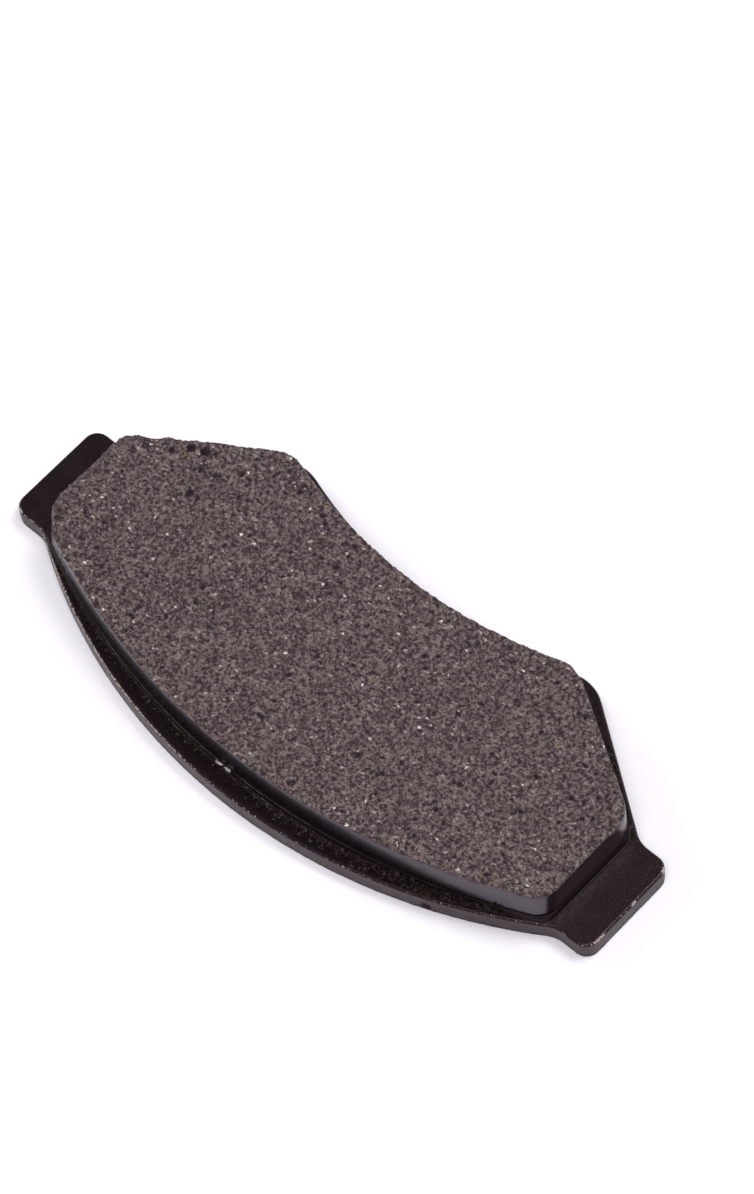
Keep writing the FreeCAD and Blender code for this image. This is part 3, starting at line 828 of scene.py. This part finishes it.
def make_crust(shell, layer, plate, foot, floor):
    """A lumpy crust along the foot, wider to the right in front, and higher where it is heaped."""
    share = foot.share
    spread = 0.15 + 0.5 * foot.front * smooth((share + 0.15) / 0.3) * smooth((0.93 - share) / 0.06)
    spread = spread * (0.8 + 0.5 * bumps(foot.points, 1.5 * MM, 40, octaves=2))
    spread = np.clip(spread, 0.1, 0.8) * (1 + 0.45 * foot.heaped)
    room = plate.depth(foot.points) - 0.8 * MM
    inside = layer.inset(0.6 * MM)
    rings = [shell.add(inside, floor - CRUST_FOOT), shell.add(inside, floor + 0.3 * MM)]
    for out in CRUST_STEPS:
        reach = np.minimum(out * MM * spread, np.maximum(room, 0.02 * MM * out))
        spots = layer.inset(-reach)
        lump = 0.45 + 1.3 * bumps(spots, 0.55 * MM, 41, octaves=2)
        tall = (0.75 + 0.75 * foot.heaped) * MM * spread
        rise = tall * (1 - out / 2.2) ** 1.3 * np.clip(lump, 0.05 + 0.4 * foot.heaped, 1.3) - 0.03 * MM
        rings.append(shell.add(spots, floor + rise))
    outermost = np.minimum(2.1 * MM * spread, np.maximum(room, 0) + 0.05 * MM)
    rings.append(shell.add(layer.inset(-outermost), floor - CRUST_FOOT))
    shell.wall(rings[::-1] + [rings[-1]])


def strew_crumbs(shell, pebble, layer, plate, foot, floor):
    """Crumbs of flash on the ledge and behind the right shoulder, piled up where the crust is heaped."""
    for _ in range(CRUMBS):
        number = random.integers(len(foot.points))
        heaped = foot.heaped[number]
        away = random.uniform(0, 1) ** 2 * (1.2 + 1.6 * smooth((foot.share[number] + 0.2) / 0.4)) * MM
        size = random.uniform(0.12, 0.34 + 0.2 * heaped) * MM
        keep = foot.crumbly(number) > random.uniform(0, 1)
        spot = foot.points[number] + layer.outward[number] * away
        if keep and plate.depth(spot[None])[0] > CRUMB_CLEARANCE:
            piled = 1.6 * MM * heaped * random.uniform(0, 1) * float(smooth(1 - away / (1.6 * MM)))
            pale = random.uniform(0, 1) ** 3 * 0.12 * (1 - 0.7 * heaped)
            add_crumb(shell, pebble, (*spot, floor + 0.2 * size + piled), size, pale)


def strew_scuffs(shell, pebble, layer, top):
    """A few pale flakes on the underlayer's edge, where the block's foot is scuffed."""
    nearest = np.argmin(np.hypot(*(layer.points - SCUFFED * MM).T))
    for _ in range(SCUFFS):
        number = (nearest + random.integers(-5, 6)) % len(layer.points)
        spot = layer.points[number] - 0.1 * MM * layer.outward[number]
        size = random.uniform(0.14, 0.34) * MM
        height = top - random.uniform(0.1, 1.3) * MM
        add_crumb(shell, pebble, (*spot, height), size, random.uniform(0.6, 1.0))


def make_flash(layer, plate):
    """Flash squeezed out along the foot of the underlayer: a lumpy crust, crumbs, and a few pale scuffs."""
    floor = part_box("backing_plate")[1].z
    foot = Foot(layer)
    shell = Shell("pale")
    make_crust(shell, layer, plate, foot, floor)
    pebble = make_pebble()
    strew_crumbs(shell, pebble, layer, plate, foot, floor)
    strew_scuffs(shell, pebble, layer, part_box("underlayer")[1].z)
    piece = shell.build("mould_flash", flash_material())


def finish_film():
    """A better material on the bond film, which keeps its CAD mesh."""
    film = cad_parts["bond_film"]
    material = film_material()
    for holder in film.material_slots:
        holder.material = material


# ---- floor, light and camera ----

VIEW_AZIMUTH, VIEW_ELEVATION, VIEW_ROLL = 49.09, 59.81, 7.72  # degrees
VIEW_DISTANCE = 1.3565
VIEW_LENS = 180.2  # mm, on a 36 mm sensor
VIEW_AIM = Vector((-0.0064, 0.0215, 0.00825))


def toward(azimuth, elevation):
    """The level direction at an azimuth, raised by an elevation, both in degrees."""
    turn, rise = math.radians(azimuth), math.radians(elevation)
    return Vector((-math.sin(turn) * math.cos(rise), math.cos(turn) * math.cos(rise), math.sin(rise)))


def make_camera():
    """The camera, looking down at the pad's friction face across its outer edge."""
    ahead = toward(VIEW_AZIMUTH, -VIEW_ELEVATION)
    turn, roll = math.radians(VIEW_AZIMUTH), math.radians(VIEW_ROLL)
    level = Vector((math.cos(turn), math.sin(turn), 0))
    upright = level.cross(ahead)
    right = level * math.cos(roll) - upright * math.sin(roll)
    up = right.cross(ahead)
    camera = bpy.data.objects.new("camera", bpy.data.cameras.new("camera"))
    camera.data.lens = VIEW_LENS
    camera.data.clip_start = 0.05
    axes = Matrix((right, up, -ahead)).transposed().to_4x4()
    camera.matrix_world = Matrix.Translation(VIEW_AIM - ahead * VIEW_DISTANCE) @ axes
    bpy.context.scene.collection.objects.link(camera)
    bpy.context.scene.camera = camera


def make_light(name, azimuth, elevation, distance, size, power, colour):
    """A square soft light that points at the pad."""
    lamp = bpy.data.lights.new(name, "AREA")
    lamp.shape = "SQUARE"
    lamp.size = size
    lamp.energy = power
    lamp.color = colour
    light = bpy.data.objects.new(name, lamp)
    place = toward(azimuth, elevation) * distance
    light.matrix_world = Matrix.Translation(place) @ place.to_track_quat("Z", "Y").to_matrix().to_4x4()
    bpy.context.scene.collection.objects.link(light)


FLOOR_HALF = 3.0  # metres, from the middle to a side
FLOOR_GAP = 0.02 * MM  # under the pad's back


def make_floor():
    """A plain pale floor under the pad."""
    mesh = bpy.data.meshes.new("floor")
    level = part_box("backing_plate")[0].z - FLOOR_GAP
    signs = [(-1, -1), (1, -1), (1, 1), (-1, 1)]
    mesh.from_pydata([(x * FLOOR_HALF, y * FLOOR_HALF, level) for x, y in signs], [], [(0, 1, 2, 3)])
    graph = Graph("floor_white")
    shade = graph.blend(graph.ramp(graph.noise(0.4), 0.3, 0.7), (0.89, 0.89, 0.90, 1), (0.90, 0.90, 0.91, 1))
    mesh.materials.append(graph.finish(Base_Color=shade, Roughness=0.6))
    floor = bpy.data.objects.new("floor", mesh)
    bpy.context.scene.collection.objects.link(floor)


# The soft lights: (name, azimuth, elevation, distance, side of the square, watts), in degrees and metres.
SOFTBOXES = [
    ("front_softbox", 225, 68, 1.6, 0.8, 16.0),
    ("back_softbox", -31, 64, 1.6, 0.7, 12.0),
    ("left_softbox", 100, 32, 1.9, 0.8, 14.0),
]
LIGHT_COLOUR = (1.0, 0.965, 1.02)
SURROUND_COLOUR = (0.97, 0.93, 1.0, 1.0)
SURROUND_STRENGTH = 0.17


def make_studio():
    """White floor, three soft lights, and a dim even surround."""
    make_floor()
    for softbox in SOFTBOXES:
        make_light(*softbox, LIGHT_COLOUR)
    world = bpy.data.worlds.new("studio")
    world.use_nodes = True
    background = world.node_tree.nodes["Background"]
    background.inputs["Color"].default_value = SURROUND_COLOUR
    background.inputs["Strength"].default_value = SURROUND_STRENGTH
    bpy.context.scene.world = world
    bpy.context.scene.view_settings.view_transform = "Standard"


make_block()
layer_outline = make_underlayer()
plate_outline = make_plate(layer_outline)
make_flash(layer_outline, plate_outline)
finish_film()
make_studio()
make_camera()
